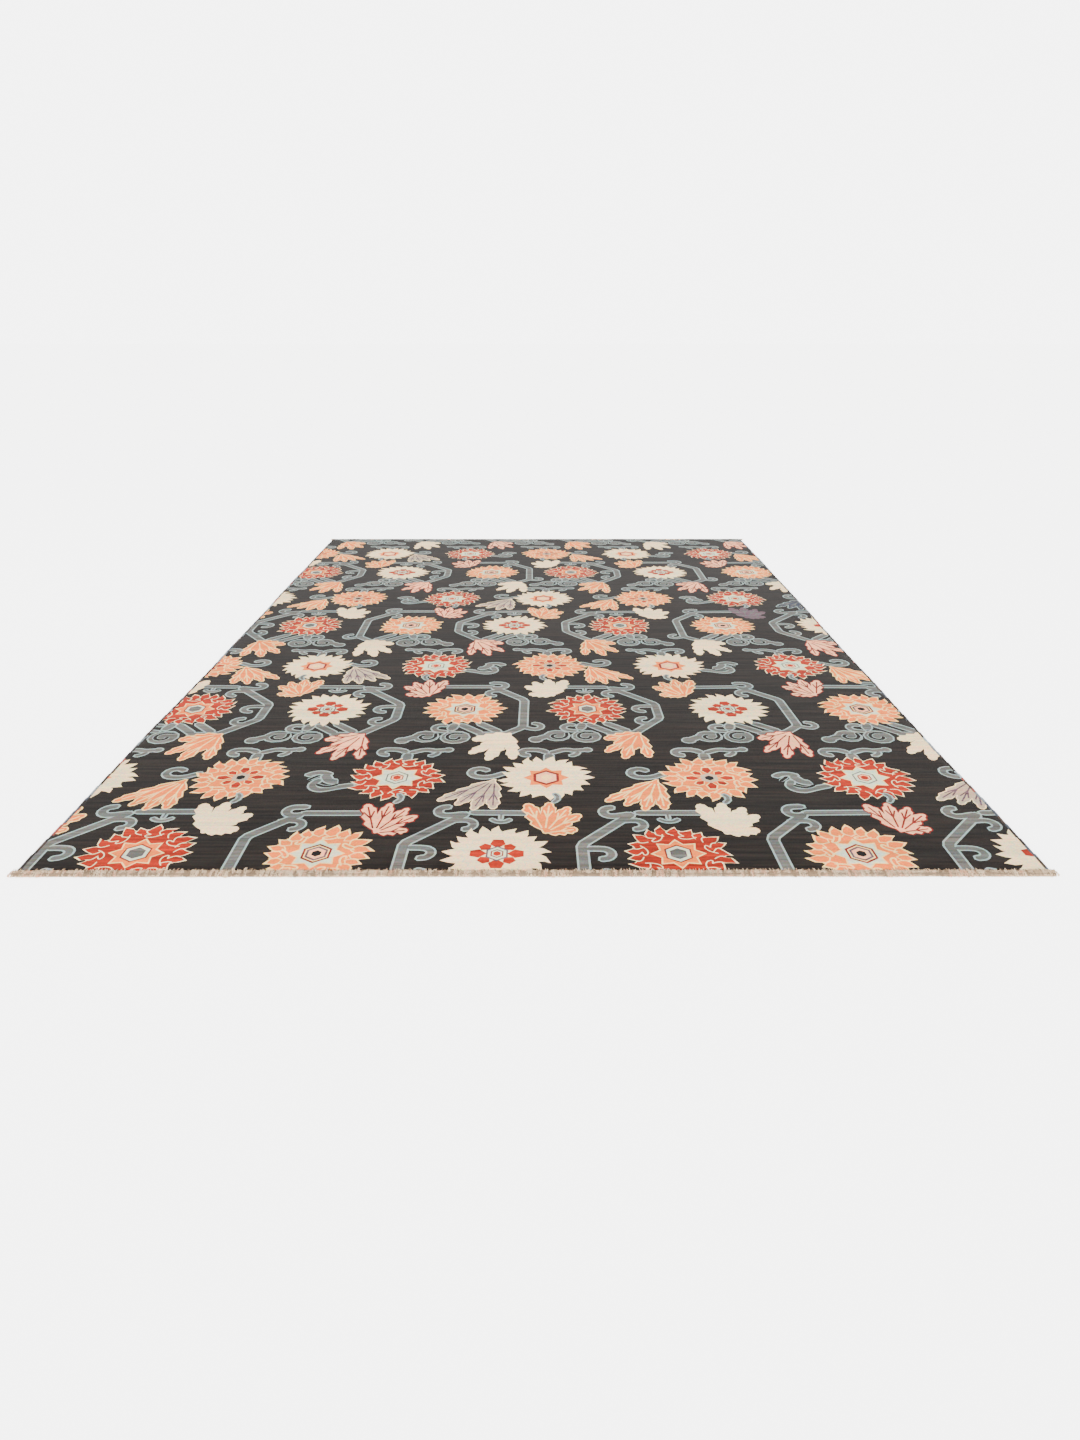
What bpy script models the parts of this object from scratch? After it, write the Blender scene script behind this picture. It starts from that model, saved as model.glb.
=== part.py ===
"""Hand-knotted wool rug with an all-over floral field, lying flat on the floor.

Metres, +Z up. The origin is the centre of the underside. +Y runs along the rug's length, and the
end that the photograph looks at is the one at -Y.

The rug is a pile field on its foundation, an overcast cord along each side, and at each end a
knotted band of warp ends with a short cut fringe.
"""

import math
import random

import bmesh
import bpy

# Driving dimensions of the whole rug
RUG_WIDTH = 2.500
RUG_LENGTH = 3.750
RUG_THICKNESS = 0.009

# Pieces that touch keep this gap
SEAT_GAP = 0.0003

# The pile rolls over its rim by this much, across and down
RIM_ACROSS = 0.0022
RIM_DOWN = 0.0026
FIELD_CELLS_ACROSS = 18
FIELD_CELLS_ALONG = 50

# Clipped by hand, the pile dips by up to twice this much, in slow waves across and along the rug
PILE_UNEVENNESS = 0.0004
DAPPLE_TURNS = (7.1, 5.3)
SLANT_TURNS = (2.2, 3.1)

# Overcast side cords, flat below where they lie on the floor
CORD_WIDTH = 0.010
CORD_HEIGHT = 0.0082
CORD_SHOULDER = 0.0045
CORD_FOOT_WIDTH = 0.0086
CORD_CROWN_POINTS = 6

# How far the sides wander from a straight line: (height of the wave, waves along the rug, phase)
SIDE_WAVES = {
    "left": ((0.0026, 1.5, 0.4), (0.0013, 4.2, 1.9), (0.0007, 9.5, 0.7)),
    "right": ((0.0022, 1.2, 2.6), (0.0014, 3.7, 0.2), (0.0007, 8.3, 2.2)),
}

# End finish: a band of knotted warp ends that stands out past the side cords
BAND_DEPTH = 0.009
BAND_CREST_FROM_WALL = 0.004
BAND_CREST_HEIGHT = 0.0074
BAND_WALL_HEIGHT = 0.0067
BAND_END_SHARE = 0.72
BAND_OVERHANG = 0.014
BAND_LENGTH = RUG_WIDTH + 2 * BAND_OVERHANG

# Cut locks rooted in the band's outer face, each tapering in two lengths to its tip
LOCK_COUNT = 120
LOCK_PITCH = BAND_LENGTH / LOCK_COUNT
LOCK_WIDTH = 0.66 * LOCK_PITCH
LOCK_LENGTH = (0.011, 0.017)
LOCK_ROOT_HEIGHT = 0.0056
LOCK_MID_HEIGHT = 0.0044
LOCK_TIP_HEIGHT = 0.0024
LOCK_TIP_WIDTH_SHARE = 0.72
LOCK_LEAN = 0.0022
CORNER_SPLAY = 0.007
CORNER_LOCKS = 3

FIELD_WIDTH = RUG_WIDTH - 2 * (CORD_WIDTH + SEAT_GAP)

# Each kind of wool: (linear colour, roughness)
MATERIALS = {
    "wool_pile": ((0.052, 0.044, 0.039), 0.95),
    "overcast_wool": ((0.040, 0.036, 0.034), 0.92),
    "warp_wool": ((0.590, 0.480, 0.380), 0.93),
}


def clear_scene():
    """Empties the file that the script runs from."""
    for item in list(bpy.data.objects):
        bpy.data.objects.remove(item, do_unlink=True)


def make_materials():
    """One Principled material for each kind of wool."""
    made = {}
    for name, (colour, roughness) in MATERIALS.items():
        material = bpy.data.materials.new(name)
        material.use_nodes = True
        shader = material.node_tree.nodes["Principled BSDF"]
        shader.inputs["Base Color"].default_value = (*colour, 1.0)
        shader.inputs["Roughness"].default_value = roughness
        shader.inputs["Metallic"].default_value = 0.0
        made[name] = material
    return made


def finish_object(name, mesh_data, material):
    """Turns a bmesh into a named object with its material."""
    bmesh.ops.recalc_face_normals(mesh_data, faces=mesh_data.faces)
    mesh = bpy.data.meshes.new(name)
    mesh_data.to_mesh(mesh)
    mesh_data.free()
    mesh.materials.append(material)
    item = bpy.data.objects.new(name, mesh)
    bpy.context.scene.collection.objects.link(item)
    return item


def side_drift(side, along):
    """How far a side stands out from its straight line at this place along the rug."""
    turn = 2 * math.pi * (along / RUG_LENGTH + 0.5)
    return sum(height * math.sin(waves * turn + phase) for height, waves, phase in SIDE_WAVES[side])


def field_side(side, along):
    """The x of the pile field's side wall."""
    sign = 1 if side == "right" else -1
    return sign * (FIELD_WIDTH / 2 + side_drift(side, along))


def pile_height(across, along):
    """The clipped pile's height, which is slightly uneven."""
    dapple = math.sin(DAPPLE_TURNS[0] * across + 1.3) * math.sin(DAPPLE_TURNS[1] * along + 0.4)
    slant = math.sin(SLANT_TURNS[1] * along - SLANT_TURNS[0] * across)
    return RUG_THICKNESS - PILE_UNEVENNESS * (1 + 0.5 * (dapple + slant))


def build_field(material):
    """The rug itself: foundation and pile as one slab with a rolled rim and a flat underside."""
    mesh_data = bmesh.new()
    bmesh.ops.create_grid(
        mesh_data, x_segments=FIELD_CELLS_ACROSS, y_segments=FIELD_CELLS_ALONG, size=0.5
    )
    for vertex in mesh_data.verts:
        share_across = vertex.co.x + 0.5
        wall_along = vertex.co.y * RUG_LENGTH
        left = field_side("left", wall_along) + RIM_ACROSS
        right = field_side("right", wall_along) - RIM_ACROSS
        across = left + (right - left) * share_across
        along = vertex.co.y * (RUG_LENGTH - 2 * RIM_ACROSS)
        vertex.co = (across, along, pile_height(across, along))

    rim = [edge for edge in mesh_data.edges if edge.is_boundary]
    rolled = bmesh.ops.extrude_edge_only(mesh_data, edges=rim)["geom"]
    for vertex in (item for item in rolled if isinstance(item, bmesh.types.BMVert)):
        along = vertex.co.y * RUG_LENGTH / (RUG_LENGTH - 2 * RIM_ACROSS)
        if vertex.co.x < field_side("left", along) + 2 * RIM_ACROSS:
            vertex.co.x = field_side("left", along)
        elif vertex.co.x > field_side("right", along) - 2 * RIM_ACROSS:
            vertex.co.x = field_side("right", along)
        vertex.co.y = along
        vertex.co.z = RUG_THICKNESS - RIM_DOWN

    shoulder = [edge for edge in mesh_data.edges if edge.is_boundary]
    lowered = bmesh.ops.extrude_edge_only(mesh_data, edges=shoulder)["geom"]
    for vertex in (item for item in lowered if isinstance(item, bmesh.types.BMVert)):
        vertex.co.z = 0.0
    underside = [edge for edge in mesh_data.edges if edge.is_boundary]
    bmesh.ops.contextual_create(mesh_data, geom=underside)
    return finish_object("rug_field", mesh_data, material)


def cord_section():
    """The side cord's section, flat inside and below: (distance out from its inner wall, height)."""
    points = [(0.0, 0.0), (0.0, CORD_SHOULDER)]
    for step in range(CORD_CROWN_POINTS):
        turn = math.pi * (step + 1) / (CORD_CROWN_POINTS + 1)
        out = CORD_WIDTH * (0.5 - 0.5 * math.cos(turn))
        points.append((out, CORD_SHOULDER + (CORD_HEIGHT - CORD_SHOULDER) * math.sin(turn)))
    points.append((CORD_WIDTH, CORD_SHOULDER))
    points.append((CORD_FOOT_WIDTH, 0.0))
    return points


def build_cord(side, material):
    """An overcast cord along one side, following the field's wall."""
    sign = 1 if side == "right" else -1
    section = cord_section()
    mesh_data = bmesh.new()
    first = [mesh_data.verts.new((0.0, 0.0, height)) for _, height in section]
    mesh_data.faces.new(first)
    rings = [first]
    for _ in range(FIELD_CELLS_ALONG):
        made = bmesh.ops.extrude_edge_only(mesh_data, edges=ring_edges(mesh_data, rings[-1]))["geom"]
        rings.append(ring_in_order(rings[-1], made))
    for station, ring in enumerate(rings):
        along = RUG_LENGTH * (station / FIELD_CELLS_ALONG - 0.5)
        wall = field_side(side, along) + sign * SEAT_GAP
        for vertex, (out, height) in zip(ring, section):
            vertex.co = (wall + sign * out, along, height)
    mesh_data.faces.new(rings[-1])
    return finish_object(f"selvedge_{side}", mesh_data, material)


def ring_edges(mesh_data, ring):
    """The edges round a ring of vertices, in order."""
    return [mesh_data.edges.get((ring[i], ring[(i + 1) % len(ring)])) for i in range(len(ring))]


def ring_in_order(before, made):
    """The new vertices of an extrusion, in the order of the ring that they came from."""
    new_vertices = {item for item in made if isinstance(item, bmesh.types.BMVert)}
    ordered = []
    for vertex in before:
        partners = [edge.other_vert(vertex) for edge in vertex.link_edges]
        ordered.append(next(partner for partner in partners if partner in new_vertices))
    return ordered


def band_section(height_share):
    """The band's section, flat below and lower outwards: (distance out from its inner wall, height)."""
    return [
        (0.0, 0.0),
        (0.0, BAND_WALL_HEIGHT * height_share),
        (BAND_CREST_FROM_WALL, BAND_CREST_HEIGHT * height_share),
        (BAND_DEPTH, LOCK_ROOT_HEIGHT * height_share),
        (BAND_DEPTH, 0.0),
    ]


def lock_stations():
    """Where the band is cut across: the two sides of each lock's root, from left to right."""
    stations = [-BAND_LENGTH / 2]
    for number in range(LOCK_COUNT):
        middle = LOCK_PITCH * (number + 0.5) - BAND_LENGTH / 2
        stations.append(middle - LOCK_WIDTH / 2)
        stations.append(middle + LOCK_WIDTH / 2)
    stations.append(BAND_LENGTH / 2)
    return stations


def build_fringe(end, material):
    """The knotted band at one end and the locks that are rooted in it."""
    outward = -1 if end == "near" else 1
    wall = RUG_LENGTH / 2 + SEAT_GAP
    stations = lock_stations()
    last = len(stations) - 1
    mesh_data = bmesh.new()
    rings = []
    for number, across in enumerate(stations):
        section = band_section(BAND_END_SHARE if number in (0, last) else 1.0)
        ring = [mesh_data.verts.new((across, outward * (wall + out), height)) for out, height in section]
        rings.append(ring)
    mesh_data.faces.new(rings[0])
    for before, after in zip(rings, rings[1:]):
        for side in range(len(before)):
            follow = (side + 1) % len(before)
            mesh_data.faces.new((before[side], before[follow], after[follow], after[side]))
    mesh_data.faces.new(rings[-1])

    draws = random.Random(f"fringe {end}")
    for number in range(LOCK_COUNT):
        left, right = rings[2 * number + 1], rings[2 * number + 2]
        root = next(face for face in left[-1].link_faces if {*left[-2:], *right[-2:]} == set(face.verts))
        grow_lock(mesh_data, root, number, outward, draws)
    return finish_object(f"fringe_{end}", mesh_data, material)


def grow_lock(mesh_data, root, number, outward, draws):
    """Draws one lock out of its root face in two lengths, tapering, level on the floor."""
    length = draws.uniform(*LOCK_LENGTH)
    lean = draws.uniform(-LOCK_LEAN, LOCK_LEAN)
    from_corner = min(number, LOCK_COUNT - 1 - number)
    if from_corner < CORNER_LOCKS:
        side = -1 if number < LOCK_COUNT / 2 else 1
        lean = side * CORNER_SPLAY * (1 - from_corner / CORNER_LOCKS)
    middle = root.calc_center_median().x
    face = root
    steps = ((0.3, 1.0, LOCK_MID_HEIGHT), (0.7, LOCK_TIP_WIDTH_SHARE, LOCK_TIP_HEIGHT))
    for lean_share, width_share, height in steps:
        face = bmesh.ops.extrude_discrete_faces(mesh_data, faces=[face])["faces"][0]
        middle += lean * lean_share
        half = LOCK_WIDTH / 2 * width_share
        centre = face.calc_center_median().x
        for vertex in face.verts:
            vertex.co.x = middle + (half if vertex.co.x > centre else -half)
            vertex.co.y += outward * length / len(steps)
            vertex.co.z = height if vertex.co.z > SEAT_GAP else 0.0


def main():
    clear_scene()
    materials = make_materials()
    build_field(materials["wool_pile"])
    for side in ("left", "right"):
        build_cord(side, materials["overcast_wool"])
    for end in ("near", "far"):
        build_fringe(end, materials["warp_wool"])


main()
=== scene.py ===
"""Dresses the kazak rug: its knotted pile and back with the floral chart, its overcast side cords,
its knotted and cut warp ends, and a plain studio round it.

Metres, +Z up, in the rug's own frame. The near end is the one at -Y.
"""

import math
import random
from contextlib import contextmanager

import bmesh
import bpy
from bpy.props import FloatProperty, FloatVectorProperty, PointerProperty
from mathutils import Matrix, Vector, noise
from mathutils.geometry import delaunay_2d_cdt


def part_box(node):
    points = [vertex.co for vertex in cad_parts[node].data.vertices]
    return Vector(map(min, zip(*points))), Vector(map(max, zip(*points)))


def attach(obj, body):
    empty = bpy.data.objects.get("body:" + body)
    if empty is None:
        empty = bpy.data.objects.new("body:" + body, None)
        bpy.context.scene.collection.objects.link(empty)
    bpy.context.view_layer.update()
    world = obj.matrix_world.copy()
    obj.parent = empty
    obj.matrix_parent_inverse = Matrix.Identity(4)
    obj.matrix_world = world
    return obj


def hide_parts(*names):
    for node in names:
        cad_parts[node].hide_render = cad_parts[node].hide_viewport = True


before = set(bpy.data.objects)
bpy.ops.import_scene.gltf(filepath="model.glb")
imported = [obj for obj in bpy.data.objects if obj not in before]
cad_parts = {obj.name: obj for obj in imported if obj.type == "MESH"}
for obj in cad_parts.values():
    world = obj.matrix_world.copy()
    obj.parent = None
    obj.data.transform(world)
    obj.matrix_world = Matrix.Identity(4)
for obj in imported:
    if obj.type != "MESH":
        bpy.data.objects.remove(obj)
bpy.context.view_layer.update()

bl_info = {
    "name": "Kazak rug",
    "version": (1, 0, 0),
    "blender": (4, 5, 0),
    "location": "3D Viewport > Sidebar > Kazak rug",
    "description": "Builds a hand-knotted floral wool rug and a plain studio round it",
    "category": "Object",
}

MM = 0.001


def linear(hex_colour):
    """An sRGB hex colour as three linear values."""
    channels = [int(hex_colour[i:i + 2], 16) / 255 for i in (1, 3, 5)]
    return tuple(c / 12.92 if c <= 0.04045 else ((c + 0.055) / 1.055) ** 2.4 for c in channels)


# The frame's own sizes

FIELD_LOW, FIELD_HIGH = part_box("rug_field")
FIELD_END = FIELD_HIGH[1]
FIELD_TOP = FIELD_HIGH[2]


def side_walls(node):
    """The x of a node's left and right walls at each station along the rug: [(y, left, right)]."""
    stations = {}
    for vertex in bpy.data.objects[node].data.vertices:
        key = round(vertex.co.y, 4)
        low, high = stations.get(key, (vertex.co.x, vertex.co.x))
        stations[key] = (min(low, vertex.co.x), max(high, vertex.co.x))
    return [(along, low, high) for along, (low, high) in sorted(stations.items())]


def wall_at(walls, along, column):
    """One wall's x at any place along the rug, read between its stations."""
    for before, after in zip(walls, walls[1:]):
        if along <= after[0]:
            break
    share = (along - before[0]) / (after[0] - before[0])
    return before[column] + (after[column] - before[column]) * min(max(share, 0.0), 1.0)


LEFT, RIGHT = 1, 2


# Sizes and colours that a user would change

def yarn(name, hex_colour, description):
    """A colour property for one dyed yarn."""
    return FloatVectorProperty(
        name=name, description=description, subtype="COLOR", size=3, min=0, max=1,
        default=linear(hex_colour),
    )


class RugYarns(bpy.types.PropertyGroup):
    """The dyed yarns of the pile."""
    ground: yarn("Ground", "#17120F", "charcoal brown of the open field")
    cream: yarn("Cream", "#E7CA9D", "undyed light wool of the pale flowers and leaves")
    blush: yarn("Blush", "#EEA47E", "pinkish cream of the veined leaves")
    peach: yarn("Peach", "#DE6D2F", "peach of the warm flowers and leaves")
    straw: yarn("Straw", "#EEC07E", "light outline of the warm petals")
    red: yarn("Red", "#8F200C", "brick red petals and seeds")
    brick: yarn("Brick", "#681A16", "dark red veins and outlines")
    slate: yarn("Slate", "#53524F", "grey core of stems and scrolls")
    ice: yarn("Ice", "#859492", "pale blue outline of stems and scrolls")
    pale: yarn("Pale", "#C2C7AB", "bluish cream of the flowers' stars")
    mauve: yarn("Mauve", "#554049", "greyed purple lines and one leaf")
    ink: yarn("Ink", "#2D2F3B", "dark blue outlines in the flowers' hearts")
    stone: yarn("Stone", "#A8927C", "greyish cream of the side leaves")
    soot: yarn("Soot", "#0D0B0B", "black seeds")


def length_setting(name, description, metres):
    """A length property."""
    return FloatProperty(name=name, description=description, default=metres, unit="LENGTH")


def angle_setting(name, description, degrees):
    """An angle property."""
    return FloatProperty(
        name=name, description=description, default=math.radians(degrees), subtype="ANGLE",
    )


class RugSizes(bpy.types.PropertyGroup):
    """Sizes of the rug's layers and trim."""
    back: length_setting("Foundation", "Thickness of the woven foundation below the pile", 2.2 * MM)
    rim: length_setting("Rim", "Width over which the pile rolls down at its rim", 3.0 * MM)
    unevenness: length_setting("Unevenness", "How far the clipped pile rises and falls", 0.35 * MM)
    cell: length_setting("Cell", "Spacing of the surface points between the motifs", 45 * MM)
    wrap: length_setting("Wrap", "Width of one turn of the yarn round a side cord", 4.2 * MM)
    bundle: length_setting("Bundle", "Spacing of the knotted warp bundles at each end", 5.6 * MM)
    strand: length_setting("Strand", "Thickness of one cut warp strand", 1.7 * MM)


class StudioSettings(bpy.types.PropertyGroup):
    """Camera, floor and lights."""
    distance: length_setting("Distance", "From the camera's foot to the middle of the rug", 3.803)
    height: length_setting("Height", "Camera above the floor", 1.224)
    aside: length_setting("Aside", "Camera to the right of the rug's middle line", 13 * MM)
    pitch: angle_setting("Pitch", "How far the camera looks down", 23.09)
    yaw: angle_setting("Yaw", "How far the camera looks to the left", -0.06)
    lens: FloatProperty(
        name="Lens", description="Focal length on a 36 mm frame", default=23.28, unit="CAMERA",
    )
    floor: FloatVectorProperty(
        name="Floor", description="Pale studio floor", subtype="COLOR", size=3, min=0, max=1,
        default=linear("#F4F4F3"),
    )
    table: FloatProperty(
        name="Table", description="Light that the lit white floor gives of its own",
        default=3.4, min=0,
    )
    backdrop: FloatProperty(
        name="Backdrop", description="Brightness of the white room round the horizon",
        default=6.0, min=0,
    )
    ceiling: FloatProperty(
        name="Ceiling", description="Brightness of the white room overhead", default=1.7, min=0,
    )
    lamp: FloatProperty(
        name="Lamp", description="Power of the soft box over the rug", default=60, min=0, unit="POWER",
    )


# The knot chart

class Chart:
    """Flat yarn shapes, in the order in which they cover each other."""

    def __init__(self):
        self.shapes = []
        self.place = Matrix.Identity(3)

    def put(self, outline, colour):
        """Adds a closed outline, in millimetres in the current motif's frame."""
        points = [(self.place @ Vector((x, y, 1.0))).to_2d() for x, y in outline]
        if signed_area(points) < 0:
            points.reverse()
        self.shapes.append((points, colour))

    @contextmanager
    def at(self, across, along, flip=False, turn=0.0, size=1.0):
        """Draws what follows round this place, in millimetres, until the block ends."""
        before = self.place
        scale = Matrix.Diagonal((-size if flip else size, size, 1.0))
        self.place = before @ shifted(across, along) @ Matrix.Rotation(turn, 3, "Z") @ scale
        yield
        self.place = before


def shifted(across, along):
    """A move in the plane as a 3 x 3 matrix."""
    move = Matrix.Identity(3)
    move[0][2] = across
    move[1][2] = along
    return move


def signed_area(points):
    """The area that an outline goes round, negative if it goes clockwise."""
    pairs = zip(points, points[1:] + points[:1])
    return 0.5 * sum(a[0] * b[1] - b[0] * a[1] for a, b in pairs)


def polar(radius, degrees):
    """A point from its radius and its angle, which runs from +X towards +Y."""
    return (radius * math.cos(math.radians(degrees)), radius * math.sin(math.radians(degrees)))


def disc(across, along, radius, sides=11):
    """A many-sided knob."""
    turns = [polar(radius, 360 * (i + 0.5) / sides) for i in range(sides)]
    return [(across + x, along + y) for x, y in turns]


def offset_line(line, distance, closed=False):
    """A line of points moved sideways to its left, with mitred corners."""
    moved = []
    for i, point in enumerate(line):
        here = Vector(point)
        before = Vector(line[i - 1]) if i or closed else None
        after = Vector(line[(i + 1) % len(line)]) if i + 1 < len(line) or closed else None
        arriving = (here - before).normalized() if before else (after - here).normalized()
        leaving = (after - here).normalized() if after else arriving
        across = Vector((-(arriving + leaving).y, (arriving + leaving).x)).normalized()
        mitre = max(across.dot(Vector((-arriving.y, arriving.x))), 0.6)
        moved.append(tuple(here + across * distance / mitre))
    return moved


BEND = 10.0
BEND_SHARE = 0.3


def bent(line):
    """A line of points with its corners cut off, so that it bends softly."""
    soft = [line[0]]
    for before, here, after in zip(line, line[1:], line[2:]):
        for end in (before, after):
            way = Vector(end) - Vector(here)
            soft.append(tuple(Vector(here) + way * min(BEND_SHARE, BEND / way.length)))
    return soft + [line[-1]]


# How far a band's half width is left at its tip, and how much of its ends the tips may take
TIP = 0.55
TIP_SHORT = 0.4
TIP_FULL = 0.7


def ribbon(line, width, short=0.0):
    """The outline of a band along a line of points, its ends cut short by this much and blunt."""
    line = bent(line)
    ends = []
    for tip, neighbour in ((line[0], line[1]), (line[-1], line[-2])):
        way = Vector(neighbour) - Vector(tip)
        cut = Vector(tip) + way * min(short / way.length, TIP_SHORT)
        full = Vector(tip) + way * min((short + width / 2) / way.length, TIP_FULL)
        ends.append((tuple(cut), tuple(full)))
    line = [*ends[0], *line[1:-1], *ends[1][::-1]]
    sides = [offset_line(line, width / 2), offset_line(line, -width / 2)]
    for side in sides:
        for i in (0, -1):
            side[i] = tuple(Vector(line[i]).lerp(Vector(side[i]), TIP))
    return sides[0] + sides[1][::-1]


def inset(outline, distance):
    """A closed outline drawn in by this much."""
    inward = distance if signed_area(outline) > 0 else -distance
    return offset_line(outline, inward, closed=True)


# Stems, hooks and scrolls, in millimetres from their flower's middle. They are made of straight
# bands and hooks of a few sizes. The motifs face left and are mirrored for the rows that face right.
# Each band is (width, its line of points), each knob (x, y, radius).

STEM_LINE = 5.2
SLIT = 11.0
HOOK = 25.0
HOOK_STEPS = 5


def coil(across, along, first, last, radius=HOOK, inner=None):
    """Points round a place from one angle to another, which draw in to the inner radius if given."""
    inner = radius if inner is None else inner
    points = []
    for i in range(HOOK_STEPS + 1):
        share = i / HOOK_STEPS
        x, y = polar(radius + (inner - radius) * share, first + (last - first) * share)
        points.append((across + x, along + y))
    return points


VINE_ENDS = [
    (30, [(110, 210), (-90, 210)]),
    (34, [(-130, -200), (-50, -120)]),
    (34, [(-70, -210), (10, -130)]),
    (28, [(-140, 165)] + coil(-95, 145, 90, -110)),
]
HOOKED_VINE = VINE_ENDS + [
    (30, [(-90, 205)] + coil(-150, 215, 280, 60)),
    (34, [(-90, 210), (-240, 45), (-240, -85), (-145, -210), (-50, -210)]),
    (16, [(0, 210), (0, 170)]),
    (20, coil(0, 190, 200, 340, 30)),
    (28, [(-235, 25)] + coil(-190, 0, 90, -120)),
    (28, [(-225, -120)] + coil(-190, -105, 270, 470)),
]
PLAIN_VINE = VINE_ENDS + [
    (30, [(-80, 200)] + coil(-105, 220, 270, 90) + [(-70, 245)]),
    (34, [(-80, 210), (-200, 80), (-200, -155), (-145, -210), (-50, -210)]),
    (26, [(-190, -150)] + coil(-235, -150, 270, 70)),
]
CLOUD = [
    (38, [(20, -125), (35, -185)]),
    (26, [(40, -195)] + coil(65, -165, -60, 140)),
    (36, [(110, -215), (145, -235), (180, -260)]),
]
CLOUD_KNOBS = [(15, -235, 50), (110, -230, 45), (180, -260, 25)]
CLOUD_SLITS = [
    coil(15, -235, 130, -190, 40, 15),
    coil(110, -230, 140, 440, 40, 10),
]
MOUSTACHE = [
    (36, [(10, 95), (10, 170)]),
    (30, [(10, 165), (-15, 190)] + coil(-55, 172, 90, 300, 20)),
    (28, [(10, 165)] + coil(65, 150, 125, 55, 40) + [(130, 190)]),
    (24, [(105, 180), (90, 150), (70, 150)]),
]
MOUSTACHE_KNOBS = [(130, 190, 18)]
CURL = [(28, [(-115, 35), (-160, 5)] + coil(-195, 35, 270, 10, 33, 24))]
SCROLL = [
    (30, [(-110, -45), (-160, -62)] + coil(-200, -48, 290, 160, 30) + [(-215, -10)]),
    (30, coil(-225, -10, 30, 160, 38)),
    (36, [(-212, 20)] + coil(-172, 0, 200, 290, 28)),
]
SCROLL_SLITS = [
    coil(-190, -20, 220, 325, 38),
    [(-250, -20), (-238, -5), (-225, 10)],
]
UNDER_STEM = [(20, [(20, -95), (35, -125), (15, -155)])]


def draw_stems(chart, bands, knobs=(), slits=()):
    """Pale outlines first and their cores next, so that stems that meet read as one."""
    for drawn_in, colour in ((0.0, "ice"), (STEM_LINE, "slate")):
        for width, line in bands:
            chart.put(ribbon(line, width - 2 * drawn_in, drawn_in), colour)
        for across, along, radius in knobs:
            chart.put(disc(across, along, radius - drawn_in), colour)
    for width, colour in ((SLIT + STEM_LINE, "ice"), (SLIT, "ground")):
        for line in slits:
            chart.put(ribbon(line, width), colour)


# Leaves. Each lobe fans out from the leaf's stem: (degrees, reach, width, how far out the notch is
# that parts it from the next lobe), in millimetres.

HANGING_LEAF = [(-94, 192, 42, 104), (-72, 210, 44, 132), (-52, 196, 42, 80), (-24, 130, 52, 0)]
SIDE_LEAF = [(-140, 205, 40, 138), (-124, 188, 38, 136), (-107, 192, 38, 124), (-90, 178, 42, 0)]
RISING_LEAF = [
    (12, 90, 44, 70), (44, 140, 42, 118), (63, 156, 40, 114), (84, 166, 42, 104), (106, 165, 48, 0),
]

# Half a lobe from the stem to its tip: (share of its reach, share of its width)
LOBE_SIDE = (
    (0.10, 0.10), (0.22, 0.34), (0.36, 0.54), (0.42, 0.38), (0.60, 0.58), (0.66, 0.38), (0.82, 0.52),
    (0.87, 0.34), (0.95, 0.30), (1.0, 0.10),
)
STEM_ROOT = 5.0
NOTCH_ROOM = 7.0


def leaf_outline(lobes):
    """The outline of a leaf: up one side of each lobe, round its tip and down into the notch."""
    outline = [polar(STEM_ROOT, lobes[0][0] - 90)]
    before = 0.0
    for i, (degrees, reach, width, notch) in enumerate(lobes):
        for side, low in ((-1, before), (1, notch)):
            steps = [
                polar(share * reach, degrees + side * math.degrees(part * width / (share * reach)))
                for share, part in LOBE_SIDE if share * reach > low + NOTCH_ROOM
            ]
            outline += steps[::-side]
        if notch:
            outline.append(polar(notch, (degrees + lobes[i + 1][0]) / 2))
        before = notch
    return outline + [polar(STEM_ROOT, lobes[-1][0] + 90)]


# How each leaf is dyed: (outline, its width, body, veins)
LEAF_YARNS = {
    "C": ("cream", 0.0, "cream", None),
    "P": ("straw", 4.5, "peach", "straw"),
    "K": ("brick", 4.2, "blush", "brick"),
    "S": ("cream", 4.0, "stone", "mauve"),
    "M": ("mauve", 4.0, "mauve", "slate"),
    "B": ("ice", 4.5, "ink", "slate"),
}
VEIN = 4.8

# The veins' ends in shares of a lobe's reach, and how far its two forks spread, in its widths
VEIN_FROM, VEIN_TO = 0.15, 0.88
FORK_FROM, FORK_TO = 0.48, 0.72
FORK_SPREAD = 0.3


def draw_leaf(chart, lobes, dye):
    """A lobed leaf with an outline and a vein to each lobe in yarns of their own."""
    line, drawn_in, body, vein = LEAF_YARNS[dye]
    outline = leaf_outline(lobes)
    chart.put(outline, line)
    if body != line:
        chart.put(inset(outline, drawn_in), body)
    for degrees, reach, width, _ in lobes if vein else ():
        ways = [(VEIN_FROM, VEIN_TO, 0.0)] + [(FORK_FROM, FORK_TO, side) for side in (-1, 1)]
        for first, last, side in ways:
            lean = side * math.degrees(FORK_SPREAD * width / (last * reach))
            way = [polar(first * reach, degrees), polar(last * reach, degrees + lean)]
            chart.put(ribbon(way, VEIN), vein)


# Flower heads, in shares of their radius

FLOWER_RADIUS = 134.0
PETALS = 21
PITCH = 360 / PETALS


def star(reach, valley, tips=8):
    """A pointed star."""
    points = []
    for i in range(tips):
        points.append(polar(reach, 90 + 360 * i / tips))
        points.append(polar(valley, 90 + 360 * (i + 0.5) / tips))
    return points


def hexagon(radius, tall=1.12):
    """A hexagon that stands on a corner."""
    return [(x, y * tall) for x, y in (polar(radius, 90 + 60 * i) for i in range(6))]


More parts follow.
